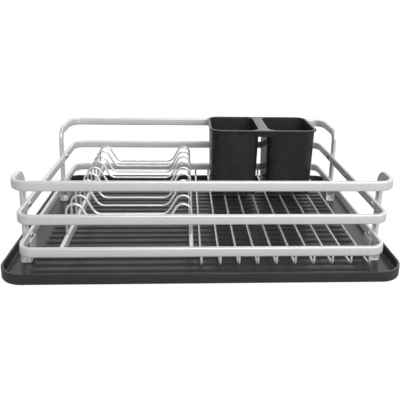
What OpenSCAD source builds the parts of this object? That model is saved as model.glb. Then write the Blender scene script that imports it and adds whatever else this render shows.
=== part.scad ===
// Dish drying rack: a bent-bar frame with plate wires, a drip tray below it and a
// two-compartment cutlery cup inside it. Millimetres, +Z up. The origin is the middle
// of the tray's underside, +X points right and -Y faces the person at the sink.

/* [Rack frame] */
// Width of the rings, left to right
rack_w = 434; // [430:2:560]
// Depth of the rings, front to back
rack_d = 310; // [250:2:400]
// Height from one rail to the next
tier = 40.7; // [36:0.1:55]
// Thickness of the flat bar
bar_t = 5; // [4:0.5:6]
// Height of the flat bar
bar_h = 12; // [10:0.5:14]
// Width of the bevel along the bar's edges
bar_bevel = 1.2; // [0.4:0.1:1.8]
// Outer corner radius of the rings
ring_r = 18; // [12:1:24]
// Outer corner radius of the hoops
hoop_r = 22; // [18:1:26]
// Inner radius of the bend from a hoop's side run to its post
bend_r = 8; // [5:1:10]
// Distance from the front of the rings to the middle of the front posts
front_reach = 47; // [44:1:70]
// Distance from the back of the rings to the middle of the rear posts
rear_reach = 72; // [44:1:80]

/* [Feet] */
// Height of the bent feet, tray to lower ring
foot_h = 26.4; // [20:0.2:40]
// Width of the feet's strip, front to back
foot_d = 22; // [12:1:24]
// Thickness of the feet's strip
foot_t = 2; // [1.5:0.5:2.5]
// Outer radius of the feet's lower bends
foot_r = 3; // [2.6:0.2:4.6]

/* [Fasteners] */
// Diameter of the rivets' shanks
rivet_d = 4; // [3:0.5:5]
// Diameter of the rivets' domed heads
rivet_head_d = 8; // [6:0.5:9]
// Height of the rivets' domed heads
rivet_head_h = 2; // [1:0.5:3]
// Diameter of the pins beside each ring's seam
pin_d = 3; // [2:0.5:4]
// How far the seam pins stand out of the bar
pin_proud = 0.8; // [0.4:0.1:1.5]
// Distance between the two pins of a seam
pin_pitch = 7.4; // [6:0.2:16]

/* [Wires] */
// Diameter of every wire
wire_d = 3; // [2.5:0.1:3.4]
// Depth of the blind holes that hold the wires' ends
socket = 6; // [3:0.5:8]
// Number of plate wires, front to back
plate_count = 10; // [4:1:12]
// Distance between the plate wires' two legs
plate_span = 150; // [140:1:160]
// Distance from the left side rail to the left crossbar's middle
crossbar_inset = 46.3; // [40:0.1:50]
// Distance from the rings' inside to the first and the last plate wire
plate_end_gap = 30; // [20:1:40]
// Height of the plate wires' humps over the crossbars
hump_h = 39.6; // [34:0.2:60]
// Radius of the humps
hump_r = 10; // [7:0.5:14]
// Height of the plate wires' flat middle over the crossbars
valley_h = 14.6; // [8:0.2:18]
// Radius of the turns into the flat middle
valley_r = 12; // [8:0.5:14]
// Angle between the horizontal and the normal of a hump's slope
slope_angle = 30; // [20:5:45]
// Number of base wires, left to right
base_count = 10; // [4:1:12]
// Distance from the right crossbar to the first base wire
base_left_gap = 12; // [8:1:20]
// Distance from the right side rail to the last base wire
base_right_gap = 15; // [8:1:20]
// Height that the base wires hang below the lower ring
base_drop = 11.4; // [9:0.2:16]
// Radius of the base wires' lower bends
base_r = 5; // [3:0.5:7]

/* [Drip tray] */
// How far the tray stands out past the rings at each side
tray_side = 23; // [16:1:40]
// How far the tray stands out past the rings at front and back
tray_end = 10; // [6:1:30]
// Height of the tray's rim
tray_h = 13.5; // [11:0.5:20]
// Outer corner radius of the tray
tray_r = 30; // [20:1:36]
// Thickness of the tray's walls
tray_wall = 3; // [2:0.1:4]
// Thickness of the tray's floor
tray_floor = 1.7; // [1.4:0.1:2.4]
// Number of drain ribs, front to back
rib_count = 20; // [8:1:20]
// Width of a drain rib's flat top
rib_w = 7; // [4:0.5:8]
// Width of a drain rib at its foot
rib_foot = 13.6; // [9:0.1:14]
// Height of a drain rib
rib_h = 2; // [0.8:0.1:2.4]
// Gap between the ribs' ends and the feet
rib_gap = 1; // [0.5:0.5:30]
// Flat margin from the tray's front and back to the ribs
rib_end = 25.6; // [16:0.2:40]

/* [Cutlery cup] */
// Width of one compartment at its rim
comp_w = 75.5; // [60:0.5:76]
// Depth of one compartment at its rim
comp_d = 91.5; // [70:0.5:96]
// Gap between the compartments
comp_gap = 13.4; // [12:0.2:20]
// Height of the cup
cup_h = 108; // [80:1:120]
// Thickness of the cup's walls
cup_wall = 2; // [1.6:0.1:3]
// Thickness of the cup's floors
cup_floor = 2.5; // [2:0.1:4]
// How far each wall leans in from rim to floor
cup_draft = 2.5; // [1:0.1:4]
// Corner radius of a compartment at its rim
comp_r = 15; // [8:1:18]
// How far the rim stands out past the walls
lip = 3; // [1.5:0.5:4]
// Thickness of the rim
lip_t = 2.5; // [1.5:0.5:3]
// Height of the skirts that close the gap at front and back
skirt_h = 8; // [4:1:14]
// Clearance behind the cup to the rings
cup_back = 0.6; // [0.4:0.1:6]
// Distance from the cup's rim to the right side rail
cup_side = 27; // [10:0.2:32]
// Diameter of the drain holes in the cup's floors
drain_d = 6; // [3:0.5:8]

/* [Hidden] */
fit_gap = 0.3;
hole_gap = 0.1;
bite = 0.1;
bend_slim = 0.04;
fine = 64;
corner_steps = 6;
dome_steps = 5;

inner_w = rack_w - 2 * bar_t;
inner_d = rack_d - 2 * bar_t;
hoop_w = rack_w + 2 * bar_t;
rest_z = tray_floor + fit_gap;
lower_z = rest_z + foot_h;
middle_z = lower_z + tier;
hoop_z = middle_z + tier;
rail_top = lower_z + bar_h;

front_post_y = -rack_d / 2 + front_reach;
rear_post_y = rack_d / 2 - rear_reach;
left_x = -inner_w / 2 + crossbar_inset;
right_x = left_x + plate_span;
slope_drop = hump_h - valley_h - hump_r - valley_r + (hump_r + valley_r) * sin(slope_angle);
slope = slope_drop / cos(slope_angle);
valley_in = hump_r + (hump_r + valley_r) * cos(slope_angle) + slope * sin(slope_angle);
plate_step = (inner_d - 2 * plate_end_gap) / (plate_count - 1);
base_start = right_x + base_left_gap;
base_step = (inner_w / 2 - base_right_gap - base_start) / (base_count - 1);

tray_w = rack_w + 2 * tray_side;
tray_d = rack_d + 2 * tray_end;
rib_step = (tray_d - 2 * rib_end - rib_w) / (rib_count - 1);
rib_length = rack_w - 2 * (bar_t + foot_t + rib_gap);

cup_w = 2 * comp_w + comp_gap + 2 * lip;
cup_d = comp_d + 2 * lip;
cup_x = inner_w / 2 - cup_side - cup_w / 2;
cup_y = inner_d / 2 - cup_back - cup_d / 2;
cup_z = lower_z - base_drop + wire_d / 2 + fit_gap;

bar_colour = [0.80, 0.80, 0.81];
wire_colour = [0.86, 0.86, 0.87];
plastic_colour = [0.17, 0.17, 0.18];
cup_colour = [0.15, 0.15, 0.16];

plate_wires = [for (i = [1:plate_count]) str("plate_wire_", i)];
base_wires = [for (i = [1:base_count]) str("base_wire_", i)];

// ---- flat bar ----

// Outline of a bar: a w x h rectangle with bevelled corners
module bar_outline(w, h) {
    a = w / 2;
    b = h / 2;
    c = bar_bevel;
    polygon([
        [a - c, -b], [a, c - b], [a, b - c], [a - c, b],
        [c - a, b], [-a, b - c], [-a, c - b], [c - a, -b]
    ]);
}

// Straight upright-section bar, centred, along X
module bar_x(length) {
    rotate([90, 0, 90])
        linear_extrude(height = length, center = true)
            bar_outline(bar_t, bar_h);
}

// Straight upright-section bar, centred, along Y
module bar_y(length) {
    rotate([90, 0, 0])
        linear_extrude(height = length, center = true)
            bar_outline(bar_t, bar_h);
}

// Quarter turn of the bar from +X to +Y about Z, with the outer radius r
module bar_corner(r) {
    rotate_extrude(angle = 90, $fn = fine)
        translate([r - bar_t / 2, 0])
            bar_outline(bar_t, bar_h);
}

// Closed ring of flat bar around w x d, standing on z = 0
module ring(w, d, r) {
    translate([0, 0, bar_h / 2]) {
        for (side = [-1, 1]) {
            translate([0, side * (d - bar_t) / 2, 0]) bar_x(w - 2 * r);
            translate([side * (w - bar_t) / 2, 0, 0]) bar_y(d - 2 * r);
        }
        for (turn = [0:3]) {
            x = (turn == 0 || turn == 3) ? w / 2 - r : r - w / 2;
            y = turn < 2 ? d / 2 - r : r - d / 2;
            translate([x, y, 0]) rotate([0, 0, 90 * turn]) bar_corner(r);
        }
    }
}

// ---- rings ----

module rivet_holes(z) {
    for (side = [-1, 1], y = [front_post_y, rear_post_y])
        translate([side * (rack_w - bar_t) / 2, y, z])
            rotate([0, 90, 0])
                cylinder(h = bar_t + 2 * bite, d = rivet_d, center = true, $fn = fine);
}

module pin_holes(z) {
    for (side = [-1, 1])
        translate([inner_w / 2 - bite, side * pin_pitch / 2, z])
            rotate([0, 90, 0])
                cylinder(h = bar_t / 2 + bite, d = pin_d, $fn = fine);
}

module base_sockets() {
    for (i = [0:base_count - 1], side = [-1, 1])
        translate([base_start + i * base_step, side * (rack_d - bar_t) / 2, lower_z - bite])
            cylinder(h = socket + bite, d = wire_d + 2 * hole_gap, $fn = fine);
}

module lower_ring() {
    color(bar_colour)
        difference() {
            translate([0, 0, lower_z]) ring(rack_w, rack_d, ring_r);
            rivet_holes(lower_z + bar_h / 2);
            pin_holes(lower_z + bar_h / 2);
            base_sockets();
        }
}

module middle_ring() {
    color(bar_colour)
        difference() {
            translate([0, 0, middle_z]) ring(rack_w, rack_d, ring_r);
            rivet_holes(middle_z + bar_h / 2);
            pin_holes(middle_z + bar_h / 2);
        }
}

// ---- hoops ----

// One end of a hoop at +X: plan corner, side run, hard-way bend and post, with the
// rail's outer face at y = 0 and the run going towards +Y
module hoop_end(reach) {
    run = reach - bar_h / 2 - bend_r - hoop_r;
    mid = hoop_z + bar_h / 2;
    side_x = (hoop_w - bar_t) / 2;
    post_top = hoop_z - bend_r;
    difference() {
        union() {
            translate([hoop_w / 2 - hoop_r, hoop_r, mid])
                rotate([0, 0, -90])
                    bar_corner(hoop_r);
            translate([side_x, hoop_r + run / 2, mid]) bar_y(run);
            translate([side_x, hoop_r + run, post_top])
                rotate([90, 0, 90])
                    rotate_extrude(angle = 90, $fn = fine)
                        translate([bend_r + bar_h / 2, 0])
                            bar_outline(bar_h, bar_t);
            translate([side_x, reach, lower_z])
                linear_extrude(height = post_top - lower_z)
                    bar_outline(bar_t, bar_h);
        }
        for (z = [lower_z, middle_z])
            translate([side_x, reach, z + bar_h / 2])
                rotate([0, 90, 0])
                    cylinder(h = bar_t + 2 * bite, d = rivet_d, center = true, $fn = fine);
    }
}

// Hoop whose rail lies at y = 0 and whose posts stand at y = reach
module hoop(reach) {
    color(bar_colour) {
        translate([0, bar_t / 2, hoop_z + bar_h / 2]) bar_x(hoop_w - 2 * hoop_r);
        hoop_end(reach);
        mirror([1, 0, 0]) hoop_end(reach);
    }
}

module front_hoop() {
    translate([0, -rack_d / 2, 0]) hoop(front_reach);
}

module rear_hoop() {
    translate([0, rack_d / 2, 0]) mirror([0, 1, 0]) hoop(rear_reach);
}

// ---- feet ----

// Strip bent into a U that clasps the ring and the post from below, up to the rivets
module foot(side, y) {
    w = 2 * (bar_t + foot_t);
    grip = (bar_h - rivet_head_d) / 2 - hole_gap;
    mid_x = side * rack_w / 2;
    color(bar_colour)
        translate([mid_x, y, rest_z]) {
            for (s = [-1, 1]) {
                translate([s * (w - foot_t) / 2 - foot_t / 2, -foot_d / 2, foot_r])
                    cube([foot_t, foot_d, foot_h + grip - foot_r]);
                translate([s * (w / 2 - foot_r), foot_d / 2, foot_r])
                    rotate([90, 0, 0])
                        foot_bend(s > 0 ? 270 : 180);
            }
            translate([foot_r - w / 2, -foot_d / 2, 0])
                cube([w - 2 * foot_r, foot_d, foot_t]);
        }
}

// Quarter of a tube as deep as the strip, starting at the given angle
module foot_bend(start) {
    rotate([0, 0, start])
        intersection() {
            difference() {
                cylinder(h = foot_d, r = foot_r, $fn = fine);
                translate([0, 0, -bite])
                    cylinder(h = foot_d + 2 * bite, r = foot_r - foot_t, $fn = fine);
            }
            cube([foot_r, foot_r, foot_d]);
        }
}

// ---- fasteners ----

// One rivet along X: domed inside the ring, flush outside the post
module rivet() {
    dome_r = (pow(rivet_head_d / 2, 2) + pow(rivet_head_h, 2)) / (2 * rivet_head_h);
    rim_angle = asin(rivet_head_d / 2 / dome_r);
    dome = [
        for (k = [0:dome_steps])
            let (a = rim_angle * k / dome_steps)
            [dome_r * sin(a), rivet_head_h - dome_r + dome_r * cos(a)]
    ];
    rotate([0, 90, 0])
        rotate_extrude($fn = fine)
            polygon(concat(
                [[0, -2 * bar_t]],
                dome,
                [[rivet_d / 2, 0], [rivet_d / 2, -2 * bar_t]]
            ));
}

module post_rivets() {
    color(bar_colour)
        for (z = [lower_z, middle_z], y = [front_post_y, rear_post_y]) {
            translate([-inner_w / 2, y, z + bar_h / 2]) rivet();
            translate([inner_w / 2, y, z + bar_h / 2]) mirror([1, 0, 0]) rivet();
        }
}

module seam_pins() {
    color(bar_colour)
        for (z = [lower_z, middle_z], side = [-1, 1])
            translate([inner_w / 2 - pin_proud, side * pin_pitch / 2, z + bar_h / 2])
                rotate([0, 90, 0])
                    cylinder(h = bar_t / 2 + pin_proud, d = pin_d, $fn = fine);
}

// ---- crossbars ----

module crossbar(x) {
    color(bar_colour)
        difference() {
            translate([x, 0, lower_z + bar_h / 2]) bar_y(inner_d);
            for (i = [0:plate_count - 1])
                translate([x, plate_y(i), rail_top - socket])
                    cylinder(h = socket + bite, d = wire_d + 2 * hole_gap, $fn = fine);
        }
}

// ---- wires ----

function plate_y(i) = -inner_d / 2 + plate_end_gap + i * plate_step;

// Wire bent step by step from the origin along +X in the plane z = 0. Each step is
// [straight length, angle of the bend after it, radius of that bend]. The bends are a
// hair thinner, and the straight lengths lap over their ends.
module bent_wire(steps, i = 0) {
    last = len(steps) - 1;
    length = steps[i][0];
    lap_in = i > 0 ? bite : 0;
    lap_out = i < last ? bite : 0;
    translate([-lap_in, 0, 0])
        rotate([0, 90, 0])
            cylinder(h = length + lap_in + lap_out, d = wire_d, $fn = 32);
    if (i < last) {
        angle = steps[i][1];
        r = steps[i][2] * sign(angle);
        translate([length, r, 0]) {
            rotate([0, 0, angle > 0 ? -90 : 90 + angle])
                rotate_extrude(angle = abs(angle), $fn = fine)
                    translate([abs(r), 0])
                        circle(d = wire_d - bend_slim, $fn = 32);
            rotate([0, 0, angle])
                translate([0, -r, 0])
                    bent_wire(steps, i + 1);
        }
    }
}

// Wire over the two crossbars, with a hump at each side and a flat valley between
module plate_wire(i) {
    leg = socket + hump_h - hump_r;
    flat = plate_span - 2 * valley_in;
    color(wire_colour)
        translate([left_x, plate_y(i - 1), rail_top - socket])
            rotate([90, -90, 0])
                bent_wire([
                    [leg, slope_angle - 180, hump_r],
                    [slope, 90 - slope_angle, valley_r],
                    [flat, 90 - slope_angle, valley_r],
                    [slope, slope_angle - 180, hump_r],
                    [leg]
                ]);
}

// Wire across the bottom, its ends bent up into the lower ring
module base_wire(i) {
    reach = (rack_d - bar_t) / 2;
    leg = socket + base_drop - base_r;
    color(wire_colour)
        translate([base_start + (i - 1) * base_step, -reach, lower_z + socket])
            rotate([0, 90, 0])
                bent_wire([
                    [leg, 90, base_r],
                    [2 * (reach - base_r), 90, base_r],
                    [leg]
                ]);
}

// ---- plastic ----

// Outline of a w x d rectangle with corners rounded to r
function rounded(w, d, r) = [
    for (q = [0:3], k = [0:corner_steps])
        let (
            a = 90 * q + 90 * k / corner_steps,
            x = (q == 0 || q == 3) ? w / 2 - r : r - w / 2,
            y = q < 2 ? d / 2 - r : r - d / 2
        )
        [x + r * cos(a), y + r * sin(a)]
];

module slab(w, d, r, h) {
    linear_extrude(height = h) polygon(rounded(w, d, r));
}

// Drain rib along X with sloping sides, standing on z = 0
module rib() {
    a = rib_w / 2;
    b = rib_foot / 2;
    rotate([90, 0, 90])
        linear_extrude(height = rib_length, center = true)
            polygon([[-b, -bite], [b, -bite], [b, 0], [a, rib_h], [-a, rib_h], [-b, 0]]);
}

module drip_tray() {
    color(plastic_colour) {
        difference() {
            slab(tray_w, tray_d, tray_r, tray_h);
            translate([0, 0, tray_floor])
                slab(tray_w - 2 * tray_wall, tray_d - 2 * tray_wall, tray_r - tray_wall, tray_h);
        }
        for (i = [0:rib_count - 1])
            translate([0, rib_end - tray_d / 2 + rib_w / 2 + i * rib_step, tray_floor]) rib();
    }
}

// Tapered block of a compartment, shrunk all round by inset, from z0 to z1
module taper(inset, z0, z1) {
    function lean(z) = inset + cup_draft * (1 - z / cup_h);
    hull()
        for (z = [z0, z1])
            translate([0, 0, z - 0.01])
                slab(comp_w - 2 * lean(z), comp_d - 2 * lean(z), comp_r - inset, 0.01);
}

module cutlery_cup() {
    pitch = (comp_w + comp_gap) / 2;
    color(cup_colour)
        translate([cup_x, cup_y, cup_z])
            difference() {
                union() {
                    for (s = [-1, 1])
                        translate([s * pitch, 0, 0]) taper(0, 0.01, cup_h - bite);
                    translate([0, 0, cup_h - lip_t]) slab(cup_w, cup_d, comp_r + lip, lip_t);
                    for (s = [-1, 1])
                        translate([-pitch, s * (comp_d - cup_wall) / 2 - cup_wall / 2, cup_h - skirt_h])
                            cube([2 * pitch, cup_wall, skirt_h - bite]);
                }
                for (s = [-1, 1])
                    translate([s * pitch, 0, 0]) {
                        taper(cup_wall, cup_floor, cup_h + 1);
                        drains();
                    }
            }
}

// Drain holes through a compartment's floor
module drains() {
    for (i = [-1:1], j = [-1:1])
        translate([i * comp_w / 4, j * comp_d / 4, -bite])
            cylinder(h = cup_floor + 2 * bite, d = drain_d, $fn = fine);
}

drip_tray();
lower_ring();
middle_ring();
front_hoop();
rear_hoop();
foot(-1, front_post_y);  // foot_front_left
foot(1, front_post_y);  // foot_front_right
foot(-1, rear_post_y);  // foot_rear_left
foot(1, rear_post_y);  // foot_rear_right
crossbar(left_x);  // crossbar_left
crossbar(right_x);  // crossbar_right
post_rivets();
seam_pins();
cutlery_cup();
for (i = [1:plate_count]) plate_wire(i);
for (i = [1:base_count]) base_wire(i);
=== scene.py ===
import math

import bmesh
import bpy
from mathutils import Matrix, Vector


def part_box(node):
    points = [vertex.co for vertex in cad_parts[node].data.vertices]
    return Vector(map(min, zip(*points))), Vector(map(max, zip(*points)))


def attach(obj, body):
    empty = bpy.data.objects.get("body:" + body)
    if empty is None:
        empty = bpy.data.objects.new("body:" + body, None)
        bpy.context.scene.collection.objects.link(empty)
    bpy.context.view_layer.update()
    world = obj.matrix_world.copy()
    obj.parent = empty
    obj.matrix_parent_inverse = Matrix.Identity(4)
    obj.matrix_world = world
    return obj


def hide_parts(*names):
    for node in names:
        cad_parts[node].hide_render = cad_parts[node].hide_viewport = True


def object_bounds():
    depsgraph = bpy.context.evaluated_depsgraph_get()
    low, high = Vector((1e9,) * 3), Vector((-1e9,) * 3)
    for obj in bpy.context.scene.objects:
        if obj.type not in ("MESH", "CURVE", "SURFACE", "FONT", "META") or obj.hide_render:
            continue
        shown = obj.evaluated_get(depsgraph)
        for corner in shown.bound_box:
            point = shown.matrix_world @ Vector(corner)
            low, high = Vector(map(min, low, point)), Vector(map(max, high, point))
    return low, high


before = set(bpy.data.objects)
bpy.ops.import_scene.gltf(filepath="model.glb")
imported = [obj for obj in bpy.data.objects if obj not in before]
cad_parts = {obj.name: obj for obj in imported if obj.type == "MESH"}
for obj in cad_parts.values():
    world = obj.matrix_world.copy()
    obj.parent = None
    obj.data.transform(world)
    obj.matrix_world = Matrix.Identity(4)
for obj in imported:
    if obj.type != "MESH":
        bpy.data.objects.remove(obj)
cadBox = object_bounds()
print("frame loaded:", len(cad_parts), "nodes")


def clearSelection():
    if bpy.context.object and bpy.context.object.mode != "OBJECT":
        bpy.ops.object.mode_set(mode="OBJECT")
    bpy.ops.object.select_all(action="DESELECT")


def selectOnly(piece):
    clearSelection()
    piece.select_set(True)
    bpy.context.view_layer.objects.active = piece


def selectWhere(kind, test):
    # picks vertices, edges or faces of the mesh in edit mode by a test on each
    piece = bpy.context.object
    mesh = bmesh.from_edit_mesh(piece.data)
    bpy.ops.mesh.select_all(action="DESELECT")
    bpy.context.tool_settings.mesh_select_mode = (kind == "verts", kind == "edges", kind == "faces")
    for item in getattr(mesh, kind):
        if test(item):
            item.select_set(True)
    bmesh.update_edit_mesh(piece.data)


def applyModifiers(piece):
    selectOnly(piece)
    for modifier in list(piece.modifiers):
        bpy.ops.object.modifier_apply(modifier=modifier.name)


mergeDistance = 0.000005


def settle(piece, name, material, smoothAngle=40):
    # puts the place into the mesh, tidies it and gives it its name, shading and material
    selectOnly(piece)
    bpy.ops.object.transform_apply(location=True, rotation=True, scale=True)
    bpy.ops.object.mode_set(mode="EDIT")
    bpy.ops.mesh.select_all(action="SELECT")
    bpy.ops.mesh.remove_doubles(threshold=mergeDistance)
    bpy.ops.mesh.normals_make_consistent(inside=False)
    bpy.ops.object.mode_set(mode="OBJECT")
    bpy.ops.object.shade_smooth_by_angle(angle=math.radians(smoothAngle))
    piece.name = name
    piece.data.name = name
    piece.data.materials.clear()
    piece.data.materials.append(material)
    clearSelection()
    return piece


def copyPiece(piece, name, offset):
    # a copy with its own mesh, its place in the mesh too
    selectOnly(piece)
    bpy.ops.object.duplicate(linked=False)
    twin = bpy.context.object
    twin.location = offset
    bpy.ops.object.transform_apply(location=True, rotation=False, scale=False)
    twin.name = name
    twin.data.name = name
    clearSelection()
    return twin


def mirrorPiece(piece, name):
    # a copy on the other side of the middle, left for right
    selectOnly(piece)
    bpy.ops.object.duplicate(linked=False)
    twin = bpy.context.object
    twin.scale.x = -1
    bpy.ops.object.transform_apply(location=True, rotation=False, scale=True)
    bpy.ops.object.mode_set(mode="EDIT")
    bpy.ops.mesh.select_all(action="SELECT")
    bpy.ops.mesh.normals_make_consistent(inside=False)
    bpy.ops.object.mode_set(mode="OBJECT")
    twin.name = name
    twin.data.name = name
    clearSelection()
    return twin


def joinPieces(pieces):
    clearSelection()
    for piece in pieces:
        piece.select_set(True)
    bpy.context.view_layer.objects.active = pieces[0]
    bpy.ops.object.join()
    return bpy.context.object


def place(piece, body, slot, *nodes):
    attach(piece, body)
    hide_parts(*nodes)


def pieceName(node, ending):
    return node.replace("_", "-") + ending


def copyToNodes(master, masterNode, nodes, ending, slot):
    # copies of a finished piece of the rack, each where its CAD node is
    for node in nodes:
        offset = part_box(node)[0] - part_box(masterNode)[0]
        place(copyPiece(master, pieceName(node, ending), offset), "rack", slot, node)


# the section that most of the rack is bent from
bar = {"thickness": 0.005, "height": 0.012, "edge": 0.0019, "edgeSteps": 4}
facingUp = (0, 0, 0)
facingBack = (math.radians(90), 0, 0)


def startStrip(centre, rotation, size, edge, edgeSteps):
    # a filled rounded rectangle, ready to be drawn along its path in edit mode
    clearSelection()
    bpy.ops.mesh.primitive_plane_add(size=1, location=centre, rotation=rotation)
    piece = bpy.context.object
    piece.scale = (*size, 1)
    bpy.ops.object.transform_apply(location=True, rotation=True, scale=True)
    bpy.ops.object.mode_set(mode="EDIT")
    bpy.ops.mesh.select_all(action="SELECT")
    bpy.ops.mesh.bevel(offset=edge, offset_type="OFFSET", segments=edgeSteps, affect="VERTICES")
    bpy.ops.mesh.select_all(action="SELECT")
    return piece


def startBar(centre, rotation):
    return startStrip(centre, rotation, (bar["thickness"], bar["height"]), bar["edge"], bar["edgeSteps"])


wire = {"diameter": 0.003, "sides": 16}


def startWire(centre):
    clearSelection()
    bpy.ops.mesh.primitive_circle_add(
        vertices=wire["sides"], radius=wire["diameter"] / 2, fill_type="NGON", location=centre
    )
    piece = bpy.context.object
    bpy.ops.object.transform_apply(location=True, rotation=True, scale=True)
    bpy.ops.object.mode_set(mode="EDIT")
    bpy.ops.mesh.select_all(action="SELECT")
    return piece


def runTo(offset):
    bpy.ops.mesh.extrude_region_move(TRANSFORM_OT_translate={"value": offset})


def turnAbout(centre, axis, degrees, steps):
    bpy.ops.mesh.spin(steps=steps, angle=-math.radians(degrees), center=centre, axis=axis)


def endStock():
    # takes out any face left across the inside
    bpy.ops.mesh.select_all(action="DESELECT")
    bpy.ops.mesh.select_interior_faces()
    bpy.ops.mesh.delete(type="ONLY_FACE")
    bpy.ops.object.mode_set(mode="OBJECT")


def newGroup(name, inputs, outputs):
    group = bpy.data.node_groups.new(name, "ShaderNodeTree")
    for label in inputs:
        group.interface.new_socket(label, in_out="INPUT", socket_type="NodeSocketFloat")
    for label in outputs:
        group.interface.new_socket(label, in_out="OUTPUT", socket_type="NodeSocketFloat")
    return group, group.nodes.new("NodeGroupInput"), group.nodes.new("NodeGroupOutput")


mottle = {"detail": 4, "roughness": 0.6, "middle": 0.5}


def makeUnevenGroup():
    # slow mottling of a value by noise: Base plus or minus half of Spread at the given Scale
    group, source, result = newGroup("unevenValue", ["Scale", "Base", "Spread"], ["Value", "Mask"])
    links = group.links
    coords = group.nodes.new("ShaderNodeTexCoord")
    noise = group.nodes.new("ShaderNodeTexNoise")
    noise.inputs["Detail"].default_value = mottle["detail"]
    noise.inputs["Roughness"].default_value = mottle["roughness"]
    centred = group.nodes.new("ShaderNodeMath")
    centred.operation = "SUBTRACT"
    centred.inputs[1].default_value = mottle["middle"]
    scaled = group.nodes.new("ShaderNodeMath")
    scaled.operation = "MULTIPLY"
    total = group.nodes.new("ShaderNodeMath")
    total.operation = "ADD"
    links.new(coords.outputs["Object"], noise.inputs["Vector"])
    links.new(source.outputs["Scale"], noise.inputs["Scale"])
    links.new(noise.outputs["Fac"], centred.inputs[0])
    links.new(centred.outputs[0], scaled.inputs[0])
    links.new(source.outputs["Spread"], scaled.inputs[1])
    links.new(scaled.outputs[0], total.inputs[0])
    links.new(source.outputs["Base"], total.inputs[1])
    links.new(total.outputs[0], result.inputs["Value"])
    links.new(noise.outputs["Fac"], result.inputs["Mask"])
    return group


grain = {"fineDetail": 2, "coarseDetail": 1, "coarseScale": 0.22}


def makeGrainGroup():
    # fine moulded or blasted grain: a height from two sizes of noise
    group, source, result = newGroup("fineGrain", ["Scale", "Coarse"], ["Height"])
    links = group.links
    coords = group.nodes.new("ShaderNodeTexCoord")
    fineNoise = group.nodes.new("ShaderNodeTexNoise")
    fineNoise.inputs["Detail"].default_value = grain["fineDetail"]
    coarseNoise = group.nodes.new("ShaderNodeTexNoise")
    coarseNoise.inputs["Detail"].default_value = grain["coarseDetail"]
    coarseScale = group.nodes.new("ShaderNodeMath")
    coarseScale.operation = "MULTIPLY"
    coarseScale.inputs[1].default_value = grain["coarseScale"]
    blend = group.nodes.new("ShaderNodeMix")
    links.new(coords.outputs["Object"], fineNoise.inputs["Vector"])
    links.new(coords.outputs["Object"], coarseNoise.inputs["Vector"])
    links.new(source.outputs["Scale"], fineNoise.inputs["Scale"])
    links.new(source.outputs["Scale"], coarseScale.inputs[0])
    links.new(coarseScale.outputs[0], coarseNoise.inputs["Scale"])
    links.new(source.outputs["Coarse"], blend.inputs["Factor"])
    links.new(fineNoise.outputs["Fac"], blend.inputs["A"])
    links.new(coarseNoise.outputs["Fac"], blend.inputs["B"])
    links.new(blend.outputs["Result"], result.inputs["Height"])
    return group


unevenGroup = makeUnevenGroup()
grainGroup = makeGrainGroup()


def makeMaterial(name, finish):
    material = bpy.data.materials.new(name)
    material.use_nodes = True
    nodes = material.node_tree.nodes
    links = material.node_tree.links
    shader = nodes["Principled BSDF"]
    shader.inputs["Metallic"].default_value = finish["metallic"]
    shader.inputs["IOR"].default_value = finish["ior"]
    roughness = nodes.new("ShaderNodeGroup")
    roughness.node_tree = unevenGroup
    roughness.inputs["Scale"].default_value = finish["mottleScale"]
    roughness.inputs["Base"].default_value = finish["roughness"]
    roughness.inputs["Spread"].default_value = finish["roughnessSpread"]
    links.new(roughness.outputs["Value"], shader.inputs["Roughness"])
    tint = nodes.new("ShaderNodeMix")
    tint.data_type = "RGBA"
    tint.inputs["A"].default_value = (*finish["darkColour"], 1)
    tint.inputs["B"].default_value = (*finish["lightColour"], 1)
    links.new(roughness.outputs["Mask"], tint.inputs["Factor"])
    links.new(tint.outputs["Result"], shader.inputs["Base Color"])
    height = nodes.new("ShaderNodeGroup")
    height.node_tree = grainGroup
    height.inputs["Scale"].default_value = finish["grainScale"]
    height.inputs["Coarse"].default_value = finish["grainCoarse"]
    bump = nodes.new("ShaderNodeBump")
    bump.inputs["Strength"].default_value = finish["grainStrength"]
    bump.inputs["Distance"].default_value = finish["grainDepth"]
    links.new(height.outputs["Height"], bump.inputs["Height"])
    links.new(bump.outputs["Normal"], shader.inputs["Normal"])
    return material


barMetal = makeMaterial("satinAluminium", {
    "metallic": 0.5, "ior": 1.5, "roughness": 0.40, "roughnessSpread": 0.10, "mottleScale": 35,
    "darkColour": (0.77, 0.77, 0.775), "lightColour": (0.85, 0.85, 0.855),
    "grainScale": 2600, "grainCoarse": 0.25, "grainStrength": 0.12, "grainDepth": 0.0001,
})
wireMetal = makeMaterial("polishedSteelWire", {
    "metallic": 0.6, "ior": 1.5, "roughness": 0.26, "roughnessSpread": 0.08, "mottleScale": 90,
    "darkColour": (0.86, 0.86, 0.87), "lightColour": (0.94, 0.94, 0.95),
    "grainScale": 1800, "grainCoarse": 0.5, "grainStrength": 0.06, "grainDepth": 0.0001,
})
footMetal = makeMaterial("paleFootMetal", {
    "metallic": 0.35, "ior": 1.5, "roughness": 0.25, "roughnessSpread": 0.10, "mottleScale": 120,
    "darkColour": (0.74, 0.74, 0.745), "lightColour": (0.84, 0.84, 0.845),
    "grainScale": 2600, "grainCoarse": 0.3, "grainStrength": 0.08, "grainDepth": 0.0001,
})
rivetMetal = makeMaterial("rivetAluminium", {
    "metallic": 1.0, "ior": 1.5, "roughness": 0.22, "roughnessSpread": 0.10, "mottleScale": 300,
    "darkColour": (0.76, 0.76, 0.77), "lightColour": (0.88, 0.88, 0.89),
    "grainScale": 2600, "grainCoarse": 0.3, "grainStrength": 0.10, "grainDepth": 0.0001,
})
trayPlastic = makeMaterial("charcoalTrayPlastic", {
    "metallic": 0.0, "ior": 1.5, "roughness": 0.30, "roughnessSpread": 0.10, "mottleScale": 24,
    "darkColour": (0.024, 0.024, 0.026), "lightColour": (0.036, 0.036, 0.039),
    "grainScale": 1500, "grainCoarse": 0.4, "grainStrength": 0.10, "grainDepth": 0.0002,
})
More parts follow.
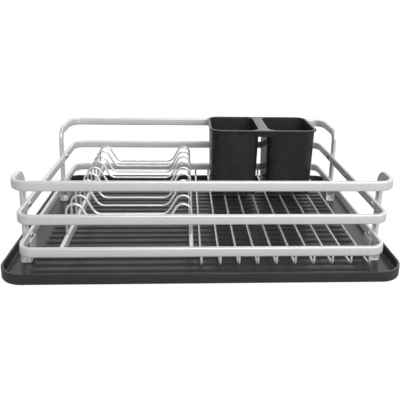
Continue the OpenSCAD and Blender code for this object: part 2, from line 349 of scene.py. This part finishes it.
cupPlastic = makeMaterial("blackCupPlastic", {
    "metallic": 0.0, "ior": 1.5, "roughness": 0.27, "roughnessSpread": 0.04, "mottleScale": 70,
    "darkColour": (0.020, 0.020, 0.023), "lightColour": (0.030, 0.030, 0.034),
    "grainScale": 1500, "grainCoarse": 0.4, "grainStrength": 0.12, "grainDepth": 0.0002,
})
print("materials made")


ring = {"cornerRadius": 0.018, "cornerSteps": 12, "seam": 0.00012}


def makeRings():
    low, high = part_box("lower_ring")
    x = high.x - bar["thickness"] / 2
    z = (low.z + high.z) / 2
    corner = ring["cornerRadius"]
    seam = ring["seam"]
    # from the seam in the right side, round by the back and to the seam again
    piece = startBar((x, seam, z), facingBack)
    runTo((0, high.y - corner - seam, 0))
    turnAbout((high.x - corner, high.y - corner, z), (0, 0, 1), 90, ring["cornerSteps"])
    runTo((low.x - high.x + 2 * corner, 0, 0))
    turnAbout((low.x + corner, high.y - corner, z), (0, 0, 1), 90, ring["cornerSteps"])
    runTo((0, low.y - high.y + 2 * corner, 0))
    turnAbout((low.x + corner, low.y + corner, z), (0, 0, 1), 90, ring["cornerSteps"])
    runTo((high.x - low.x - 2 * corner, 0, 0))
    turnAbout((high.x - corner, low.y + corner, z), (0, 0, 1), 90, ring["cornerSteps"])
    runTo((0, -low.y - corner - seam, 0))
    endStock()
    settle(piece, "lower-ring-bar", barMetal)
    place(piece, "rack", "bar_metal", "lower_ring")
    copyToNodes(piece, "lower_ring", ["middle_ring"], "-bar", "bar_metal")


hoop = {"cornerRadius": 0.022, "cornerSteps": 14, "bendRadius": 0.008, "bendSteps": 14}


def makeHoop(name, footName, towards):
    # towards is +1 where the posts stand behind the rail and -1 where they stand before it
    low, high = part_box(name)
    footLow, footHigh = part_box(footName)
    postY = (footLow.y + footHigh.y) / 2
    railY = low.y if towards > 0 else high.y
    corner = hoop["cornerRadius"]
    turn = hoop["bendRadius"] + bar["height"] / 2
    x = high.x - bar["thickness"] / 2
    mid = high.z - bar["height"] / 2
    run = abs(postY - railY) - turn - corner
    piece = startBar((-x, postY, low.z), facingUp)
    runTo((0, 0, mid - turn - low.z))
    turnAbout((-x, postY - towards * turn, mid - turn), (1, 0, 0), 90 * towards, hoop["bendSteps"])
    runTo((0, -towards * run, 0))
    railMid = railY + towards * corner
    turnAbout((-high.x + corner, railMid, mid), (0, 0, 1), 90 * towards, hoop["cornerSteps"])
    runTo((2 * (high.x - corner), 0, 0))
    turnAbout((high.x - corner, railMid, mid), (0, 0, 1), 90 * towards, hoop["cornerSteps"])
    runTo((0, towards * run, 0))
    turnAbout((x, postY - towards * turn, mid - turn), (1, 0, 0), -90 * towards, hoop["bendSteps"])
    runTo((0, 0, low.z - mid + turn))
    endStock()
    settle(piece, pieceName(name, "-bar"), barMetal)
    place(piece, "rack", "bar_metal", name)


foot = {"strip": 0.002, "bendRadius": 0.003, "bendSteps": 6, "edge": 0.0004, "edgeSteps": 3}


def makeFeet():
    low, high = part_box("foot_front_left")
    strip = foot["strip"]
    bend = foot["bendRadius"]
    y = (low.y + high.y) / 2
    piece = startStrip(
        (low.x + strip / 2, y, high.z), facingUp, (strip, high.y - low.y), foot["edge"], foot["edgeSteps"]
    )
    runTo((0, 0, low.z - high.z + bend))
    turnAbout((low.x + bend, y, low.z + bend), (0, 1, 0), -90, foot["bendSteps"])
    runTo((high.x - low.x - 2 * bend, 0, 0))
    turnAbout((high.x - bend, y, low.z + bend), (0, 1, 0), -90, foot["bendSteps"])
    runTo((0, 0, high.z - low.z - bend))
    endStock()
    settle(piece, "foot-front-left-strip", footMetal)
    place(piece, "rack", "bar_metal", "foot_front_left")
    others = ["foot_front_right", "foot_rear_left", "foot_rear_right"]
    copyToNodes(piece, "foot_front_left", others, "-strip", "bar_metal")


def makeCrossbars():
    low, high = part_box("crossbar_left")
    piece = startBar(((low.x + high.x) / 2, low.y, (low.z + high.z) / 2), facingBack)
    runTo((0, high.y - low.y, 0))
    endStock()
    settle(piece, "crossbar-left-bar", barMetal)
    place(piece, "rack", "bar_metal", "crossbar_left")
    copyToNodes(piece, "crossbar_left", ["crossbar_right"], "-bar", "bar_metal")


plateWire = {
    "socket": 0.006,
    "humpRadius": 0.010,
    "humpSteps": 14,
    "valleyRadius": 0.012,
    "valleySteps": 8,
    "valleyHeight": 0.0146,
    "slopeAngle": 30,
}


def makePlateWires():
    low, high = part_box("plate_wire_1")
    radius = wire["diameter"] / 2
    left = low.x + radius
    right = high.x - radius
    y = (low.y + high.y) / 2
    railTop = low.z + plateWire["socket"]
    hump = plateWire["humpRadius"]
    valley = plateWire["valleyRadius"]
    lean = math.radians(plateWire["slopeAngle"])
    humpZ = high.z - radius - hump
    valleyZ = railTop + plateWire["valleyHeight"]
    slopeDrop = humpZ - valleyZ - valley + (hump + valley) * math.sin(lean)
    slope = slopeDrop / math.cos(lean)
    reach = hump + (hump + valley) * math.cos(lean) + slope * math.sin(lean)
    along = (slope * math.sin(lean), 0, slope * math.cos(lean))
    bigTurn = 180 - plateWire["slopeAngle"]
    smallTurn = 90 - plateWire["slopeAngle"]
    master = startWire((left, y, low.z))
    runTo((0, 0, humpZ - low.z))
    turnAbout((left + hump, y, humpZ), (0, 1, 0), bigTurn, plateWire["humpSteps"])
    runTo((along[0], 0, -along[2]))
    turnAbout((left + reach, y, valleyZ + valley), (0, 1, 0), -smallTurn, plateWire["valleySteps"])
    runTo((right - left - 2 * reach, 0, 0))
    turnAbout((right - reach, y, valleyZ + valley), (0, 1, 0), -smallTurn, plateWire["valleySteps"])
    runTo((along[0], 0, along[2]))
    turnAbout((right - hump, y, humpZ), (0, 1, 0), bigTurn, plateWire["humpSteps"])
    runTo((0, 0, low.z - humpZ))
    endStock()
    settle(master, "plate-wire-1-bent", wireMetal, smoothAngle=60)
    place(master, "rack", "wire_metal", "plate_wire_1")
    others = [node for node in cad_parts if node.startswith("plate_wire_") and node != "plate_wire_1"]
    copyToNodes(master, "plate_wire_1", others, "-bent", "wire_metal")


baseWire = {"bendRadius": 0.005, "bendSteps": 10}


def makeBaseWires():
    low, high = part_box("base_wire_1")
    radius = wire["diameter"] / 2
    bend = baseWire["bendRadius"]
    x = (low.x + high.x) / 2
    front = low.y + radius
    back = high.y - radius
    floorZ = low.z + radius
    master = startWire((x, front, high.z))
    runTo((0, 0, floorZ + bend - high.z))
    turnAbout((x, front + bend, floorZ + bend), (1, 0, 0), 90, baseWire["bendSteps"])
    runTo((0, back - front - 2 * bend, 0))
    turnAbout((x, back - bend, floorZ + bend), (1, 0, 0), 90, baseWire["bendSteps"])
    runTo((0, 0, high.z - floorZ - bend))
    endStock()
    settle(master, "base-wire-1-bent", wireMetal, smoothAngle=60)
    place(master, "rack", "wire_metal", "base_wire_1")
    others = [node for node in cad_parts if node.startswith("base_wire_") and node != "base_wire_1"]
    copyToNodes(master, "base_wire_1", others, "-bent", "wire_metal")


rivet = {
    "headDiameter": 0.008,
    "headHeight": 0.002,
    "tailDiameter": 0.004,
    "tailProud": 0.00015,
    "tailEdge": 0.00025,
    "tailSteps": 2,
    "sides": 32,
    "domeRings": 48,
    "sink": 0.0001,
}


def makeRivet():
    # one rivet along X at the origin: a dome on the ring's inside, a nearly flush tail on the post
    height = rivet["headHeight"]
    radius = rivet["headDiameter"] / 2
    domeRadius = (radius * radius + height * height) / (2 * height)
    clearSelection()
    bpy.ops.mesh.primitive_uv_sphere_add(
        segments=rivet["sides"], ring_count=rivet["domeRings"], radius=domeRadius,
        location=(0, 0, height - domeRadius),
    )
    dome = bpy.context.object
    bpy.ops.object.transform_apply(location=True, rotation=True, scale=True)
    bpy.ops.object.mode_set(mode="EDIT")
    bpy.ops.mesh.select_all(action="SELECT")
    # cut a little above the ring's face, then carried as far below it
    bpy.ops.mesh.bisect(
        plane_co=(0, 0, rivet["sink"]), plane_no=(0, 0, 1), clear_inner=True, use_fill=True
    )
    runTo((0, 0, -2 * rivet["sink"]))
    bpy.ops.object.mode_set(mode="OBJECT")
    clearSelection()
    tail = rivet["tailDiameter"] / 2
    proud = rivet["tailProud"]
    bpy.ops.mesh.primitive_cylinder_add(
        vertices=rivet["sides"], radius=tail, depth=2 * bar["thickness"] + proud,
        location=(0, 0, -bar["thickness"] - proud / 2),
    )
    shank = bpy.context.object
    bevel = shank.modifiers.new("edge", "BEVEL")
    bevel.width = rivet["tailEdge"]
    bevel.segments = rivet["tailSteps"]
    applyModifiers(shank)
    whole = joinPieces([dome, shank])
    whole.rotation_euler = (0, math.radians(90), 0)
    bpy.ops.object.transform_apply(location=True, rotation=True, scale=True)
    return settle(whole, "rivet", rivetMetal, smoothAngle=50)


def makeRivets():
    footFront = (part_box("foot_front_left")[0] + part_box("foot_front_left")[1]) / 2
    footRear = (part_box("foot_rear_left")[0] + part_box("foot_rear_left")[1]) / 2
    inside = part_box("post_rivets")[1].x - 2 * bar["thickness"]
    one = makeRivet()
    left = []
    for ringName in ("lower_ring", "middle_ring"):
        ringLow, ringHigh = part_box(ringName)
        for y in (footFront.y, footRear.y):
            left.append(copyPiece(one, "rivet-copy", (-inside, y, (ringLow.z + ringHigh.z) / 2)))
    right = [mirrorPiece(piece, "rivet-right") for piece in left]
    bpy.data.objects.remove(one)
    group = joinPieces(left + right)
    group.name = "post-rivets-domed"
    group.data.name = "post-rivets-domed"
    place(group, "rack", "rivet_metal", "post_rivets")


seamPin = {"diameter": 0.003, "edge": 0.0005, "edgeSteps": 3, "sides": 24}


def makeSeamPins():
    low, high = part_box("seam_pins")
    radius = seamPin["diameter"] / 2
    depth = high.x - low.x
    pins = []
    for z in (low.z + radius, high.z - radius):
        for y in (low.y + radius, high.y - radius):
            clearSelection()
            bpy.ops.mesh.primitive_cylinder_add(
                vertices=seamPin["sides"], radius=radius, depth=depth,
                location=((low.x + high.x) / 2, y, z),
                rotation=(0, math.radians(90), 0),
            )
            pin = bpy.context.object
            bevel = pin.modifiers.new("edge", "BEVEL")
            bevel.width = seamPin["edge"]
            bevel.segments = seamPin["edgeSteps"]
            applyModifiers(pin)
            pins.append(pin)
    group = joinPieces(pins)
    settle(group, "seam-pins-rounded", rivetMetal, smoothAngle=50)
    place(group, "rack", "rivet_metal", "seam_pins")


# how near two heights or two places count as the same
sameHeight = 1e-5
samePlace = 1e-6


def upright(edge):
    a, b = (vertex.co for vertex in edge.verts)
    return abs(a.x - b.x) < samePlace and abs(a.y - b.y) < samePlace and abs(a.z - b.z) > sameHeight


def level(z):
    return lambda item: all(abs(vertex.co.z - z) < sameHeight for vertex in item.verts)


def bevelEdges(width, steps):
    bpy.ops.mesh.bevel(offset=width, offset_type="OFFSET", segments=steps, affect="EDGES")


def roundedBlock(low, high, corner, steps):
    # a block between two corners, its upright edges rounded, left in edit mode
    clearSelection()
    centre = (Vector(low) + Vector(high)) / 2
    size = Vector(high) - Vector(low)
    bpy.ops.mesh.primitive_cube_add(size=1, location=centre)
    block = bpy.context.object
    block.scale = size
    bpy.ops.object.transform_apply(location=True, rotation=True, scale=True)
    bpy.ops.object.mode_set(mode="EDIT")
    selectWhere("edges", upright)
    bevelEdges(corner, steps)
    return block


tray = {
    "cornerRadius": 0.030,
    "cornerSteps": 16,
    "wall": 0.003,
    "floor": 0.0017,
    "rimEdge": 0.0009,
    "footEdge": 0.0015,
    "innerEdge": 0.0024,
    "edgeSteps": 6,
    "ribCount": 20,
    "ribWidth": 0.007,
    "ribFoot": 0.0136,
    "ribHeight": 0.002,
    "ribSide": 0.031,
    "ribEnd": 0.0256,
    "ribCorner": 0.005,
    "ribSink": 0.0001,
}


def makeTray():
    low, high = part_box("drip_tray")
    body = roundedBlock(low, high, tray["cornerRadius"], tray["cornerSteps"])
    # sink the top to the floor, leaving the wall
    selectWhere("faces", level(high.z))
    bpy.ops.mesh.inset(thickness=tray["wall"])
    runTo((0, 0, tray["floor"] - high.z + low.z))
    selectWhere("edges", level(high.z))
    bevelEdges(tray["rimEdge"], tray["edgeSteps"])
    selectWhere("edges", level(low.z))
    bevelEdges(tray["footEdge"], tray["edgeSteps"])
    floorZ = low.z + tray["floor"]
    selectWhere("edges", level(floorZ))
    bevelEdges(tray["innerEdge"], tray["edgeSteps"])
    bpy.ops.object.mode_set(mode="OBJECT")
    # one drain rib, then its copies
    start = low.y + tray["ribEnd"]
    pitch = (high.y - low.y - 2 * tray["ribEnd"] - tray["ribWidth"]) / (tray["ribCount"] - 1)
    middle = start + tray["ribWidth"] / 2
    rib = roundedBlock(
        (low.x + tray["ribSide"], middle - tray["ribFoot"] / 2, floorZ - tray["ribSink"]),
        (high.x - tray["ribSide"], middle + tray["ribFoot"] / 2, floorZ + tray["ribHeight"]),
        tray["ribCorner"], tray["edgeSteps"],
    )
    # draw the top in, so that the sides slope
    length = high.x - low.x - 2 * tray["ribSide"]
    slopeRun = (tray["ribFoot"] - tray["ribWidth"]) / 2
    selectWhere("verts", lambda vertex: vertex.co.z > floorZ + tray["ribHeight"] / 2)
    bpy.ops.transform.resize(
        value=((length - 2 * slopeRun) / length, tray["ribWidth"] / tray["ribFoot"], 1),
        center_override=(0, middle, floorZ),
    )
    bpy.ops.object.mode_set(mode="OBJECT")
    ribs = [rib]
    for i in range(1, tray["ribCount"]):
        ribs.append(copyPiece(rib, "rib", (0, i * pitch, 0)))
    whole = joinPieces([body] + ribs)
    settle(whole, "drip-tray-moulded", trayPlastic, smoothAngle=20)
    place(whole, "tray", "tray_plastic", "drip_tray")


cup = {
    "compartment": (0.0755, 0.0915),
    "gap": 0.0134,
    "wall": 0.0013,
    "floor": 0.0025,
    "draft": 0.0025,
    "cornerRadius": 0.015,
    "cornerSteps": 12,
    "bottomEdge": 0.0015,
    "insideEdge": 0.002,
    "edgeSteps": 4,
    "bodyDrop": 0.0005,
    "lip": 0.003,
    "lipThickness": 0.0025,
    "rimEdge": 0.0012,
    "rimFold": 1,
    "skirtHeight": 0.0105,
    "skirtDrop": 0.001,
    "skirtCorner": 0.0004,
    "edge": 0.0005,
    "softSteps": 2,
    "softAngle": 50,
    "drainDiameter": 0.006,
    "drainSides": 24,
    "cutAbove": 0.001,
}


def compartmentBlock(x, y, bottom, top, inset, bottomEdge):
    # one compartment's tapered block, drawn in all round by inset
    width = cup["compartment"][0] - 2 * inset
    depth = cup["compartment"][1] - 2 * inset
    block = roundedBlock(
        (x - width / 2, y - depth / 2, bottom), (x + width / 2, y + depth / 2, top),
        cup["cornerRadius"] - inset, cup["cornerSteps"],
    )
    low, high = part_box("cutlery_cup")
    lean = cup["draft"] * (high.z - bottom) / (high.z - low.z)
    selectWhere("verts", lambda vertex: abs(vertex.co.z - bottom) < samePlace)
    bpy.ops.transform.resize(
        value=((width - 2 * lean) / width, (depth - 2 * lean) / depth, 1), center_override=(x, y, bottom)
    )
    selectWhere("edges", level(bottom))
    bevelEdges(bottomEdge, cup["edgeSteps"])
    bpy.ops.object.mode_set(mode="OBJECT")
    return block


def boolean(piece, tool, operation):
    modifier = piece.modifiers.new("cut", "BOOLEAN")
    modifier.operation = operation
    modifier.solver = "EXACT"
    modifier.object = tool
    applyModifiers(piece)
    bpy.data.objects.remove(tool)


def makeCup():
    low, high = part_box("cutlery_cup")
    centre = (low + high) / 2
    pitch = (cup["compartment"][0] + cup["gap"]) / 2
    top = high.z - cup["bodyDrop"]
    body = compartmentBlock(centre.x - pitch, centre.y, low.z, top, 0, cup["bottomEdge"])
    other = compartmentBlock(centre.x + pitch, centre.y, low.z, top, 0, cup["bottomEdge"])
    boolean(body, other, "UNION")
    rim = roundedBlock(
        (low.x, low.y, high.z - cup["lipThickness"]), high,
        cup["cornerRadius"] + cup["lip"], cup["cornerSteps"],
    )
    bpy.ops.object.mode_set(mode="OBJECT")
    boolean(body, rim, "UNION")
    for side in (-1, 1):
        y = centre.y + side * (cup["compartment"][1] - cup["wall"]) / 2
        skirt = roundedBlock(
            (centre.x - pitch, y - cup["wall"] / 2, high.z - cup["skirtHeight"]),
            (centre.x + pitch, y + cup["wall"] / 2, high.z - cup["skirtDrop"]),
            cup["skirtCorner"], 1,
        )
        bpy.ops.object.mode_set(mode="OBJECT")
        boolean(body, skirt, "UNION")
    for side in (-1, 1):
        inside = compartmentBlock(
            centre.x + side * pitch, centre.y, low.z + cup["floor"], high.z + cup["cutAbove"],
            cup["wall"], cup["insideEdge"],
        )
        boolean(body, inside, "DIFFERENCE")
        for i in (-1, 0, 1):
            for j in (-1, 0, 1):
                clearSelection()
                bpy.ops.mesh.primitive_cylinder_add(
                    vertices=cup["drainSides"], radius=cup["drainDiameter"] / 2, depth=3 * cup["floor"],
                    location=(
                        centre.x + side * pitch + i * cup["compartment"][0] / 4,
                        centre.y + j * cup["compartment"][1] / 4,
                        low.z + cup["floor"] / 2,
                    ),
                )
                boolean(body, bpy.context.object, "DIFFERENCE")
    # rounds the rim inside and out, then every other sharp edge a little
    selectOnly(body)
    bpy.ops.object.mode_set(mode="EDIT")
    atTop = level(high.z)
    selectWhere("edges", lambda edge: atTop(edge) and edge.calc_face_angle(0) > cup["rimFold"])
    bevelEdges(cup["rimEdge"], cup["edgeSteps"])
    bpy.ops.object.mode_set(mode="OBJECT")
    bevel = body.modifiers.new("edge", "BEVEL")
    bevel.width = cup["edge"]
    bevel.segments = cup["softSteps"]
    bevel.limit_method = "ANGLE"
    bevel.angle_limit = math.radians(cup["softAngle"])
    applyModifiers(body)
    settle(body, "cutlery-cup-moulded", cupPlastic, smoothAngle=35)
    place(body, "cup", "cup_plastic", "cutlery_cup")


camera = {
    "place": (-0.02596, -0.66356, 0.31501),
    "yaw": 0.05,
    "pitch": 0.235,
    "roll": 0.019,
    "lens": 43.38,
    "sensor": 36,
    "shift": (-0.0174, -0.2),
    "clip": (0.01, 50),
}


def makeCamera():
    data = bpy.data.cameras.new("camera")
    data.sensor_width = camera["sensor"]
    data.lens = camera["lens"]
    data.shift_x, data.shift_y = camera["shift"]
    data.clip_start, data.clip_end = camera["clip"]
    holder = bpy.data.objects.new("camera", data)
    bpy.context.scene.collection.objects.link(holder)
    holder.location = camera["place"]
    turn = Matrix.Rotation(-camera["yaw"], 3, "Z")
    tip = Matrix.Rotation(math.pi / 2 - camera["pitch"], 3, "X")
    roll = Matrix.Rotation(camera["roll"], 3, "Z")
    holder.rotation_euler = (turn @ tip @ roll).to_euler()
    bpy.context.scene.camera = holder


# how the surroundings light the rack: each range says where along its axis a strength changes
sky = {
    "depthRange": (-0.9, 0.5),
    "frontStrength": 0.36,
    "backStrength": 1.25,
    "sideRange": (-1.0, 0.1),
    "leftStrength": 0.52,
    "heightRange": (0.45, 0.85),
    "overheadStrength": 0.5,
}


def rampAlong(tree, axis, span, strengths):
    ramp = tree.nodes.new("ShaderNodeMapRange")
    ramp.inputs["From Min"].default_value, ramp.inputs["From Max"].default_value = span
    ramp.inputs["To Min"].default_value, ramp.inputs["To Max"].default_value = strengths
    tree.links.new(axis, ramp.inputs["Value"])
    return ramp.outputs[0]


def makeWorld():
    world = bpy.data.worlds.new("studio")
    bpy.context.scene.world = world
    world.use_nodes = True
    tree = world.node_tree
    nodes = tree.nodes
    links = tree.links
    background = nodes["Background"]
    background.inputs["Color"].default_value = (1, 1, 1, 1)
    coords = nodes.new("ShaderNodeTexCoord")
    split = nodes.new("ShaderNodeSeparateXYZ")
    links.new(coords.outputs["Generated"], split.inputs[0])
    # dimmer in front, at the left and straight overhead, and brighter behind
    depthStrengths = (sky["frontStrength"], sky["backStrength"])
    depth = rampAlong(tree, split.outputs["Y"], sky["depthRange"], depthStrengths)
    side = rampAlong(tree, split.outputs["X"], sky["sideRange"], (sky["leftStrength"], 1))
    height = rampAlong(tree, split.outputs["Z"], sky["heightRange"], (1, sky["overheadStrength"]))
    walls = nodes.new("ShaderNodeMath")
    walls.operation = "MULTIPLY"
    links.new(depth, walls.inputs[0])
    links.new(side, walls.inputs[1])
    whole = nodes.new("ShaderNodeMath")
    whole.operation = "MULTIPLY"
    links.new(walls.outputs[0], whole.inputs[0])
    links.new(height, whole.inputs[1])
    links.new(whole.outputs[0], background.inputs["Strength"])
    # plain white where the camera looks straight at it
    white = nodes.new("ShaderNodeBackground")
    white.inputs["Strength"].default_value = 1.0
    white.inputs["Color"].default_value = (1, 1, 1, 1)
    path = nodes.new("ShaderNodeLightPath")
    mix = nodes.new("ShaderNodeMixShader")
    links.new(path.outputs["Is Camera Ray"], mix.inputs[0])
    links.new(background.outputs[0], mix.inputs[1])
    links.new(white.outputs[0], mix.inputs[2])
    links.new(mix.outputs[0], nodes["World Output"].inputs["Surface"])


keyLight = {"power": 10, "size": (0.9, 0.9), "place": (1.3, -1.1, 1.3)}
frontLight = {"power": 21, "size": (1.4, 0.8), "place": (0.3, -1.8, 1.2)}


def makeLight(name, light):
    # an area light that faces the middle of the scene
    data = bpy.data.lights.new(name, "AREA")
    data.energy = light["power"]
    data.shape = "RECTANGLE"
    data.size, data.size_y = light["size"]
    lamp = bpy.data.objects.new(name, data)
    bpy.context.scene.collection.objects.link(lamp)
    lamp.location = light["place"]
    lamp.rotation_euler = (-Vector(light["place"])).to_track_quat("-Z", "Y").to_euler()


ground = {"size": 12, "gap": 0.0003, "colour": 0.42, "roughness": 0.7, "specular": 0.1, "lift": 0.75}


def makeFloor():
    clearSelection()
    bpy.ops.mesh.primitive_plane_add(size=ground["size"], location=(0, 0, cadBox[0].z - ground["gap"]))
    floor = bpy.context.object
    floor.name = "floor"
    material = bpy.data.materials.new("paleFloor")
    material.use_nodes = True
    shader = material.node_tree.nodes["Principled BSDF"]
    grey = ground["colour"]
    shader.inputs["Base Color"].default_value = (grey, grey, grey, 1)
    shader.inputs["Roughness"].default_value = ground["roughness"]
    shader.inputs["Specular IOR Level"].default_value = ground["specular"]
    shader.inputs["Emission Color"].default_value = (1, 1, 1, 1)
    # lifted towards white only where it is seen directly, so the metal doesn't mirror a glowing floor
    path = material.node_tree.nodes.new("ShaderNodeLightPath")
    lift = material.node_tree.nodes.new("ShaderNodeMath")
    lift.operation = "MULTIPLY"
    lift.inputs[1].default_value = ground["lift"]
    material.node_tree.links.new(path.outputs["Is Camera Ray"], lift.inputs[0])
    material.node_tree.links.new(lift.outputs[0], shader.inputs["Emission Strength"])
    floor.data.materials.append(material)
    bpy.ops.object.transform_apply(location=True, rotation=True, scale=True)


makeCamera()
makeWorld()
makeLight("keyLight", keyLight)
makeLight("frontLight", frontLight)
makeFloor()
bpy.context.scene.view_settings.view_transform = "Standard"
print("camera, light and floor made")

makeRings()
makeHoop("front_hoop", "foot_front_left", 1)
makeHoop("rear_hoop", "foot_rear_left", -1)
print("rings and hoops made")
makeFeet()
makeCrossbars()
makePlateWires()
makeBaseWires()
makeRivets()
makeSeamPins()
print("feet, crossbars, wires and fasteners made")
makeTray()
makeCup()
print("tray and cup made")
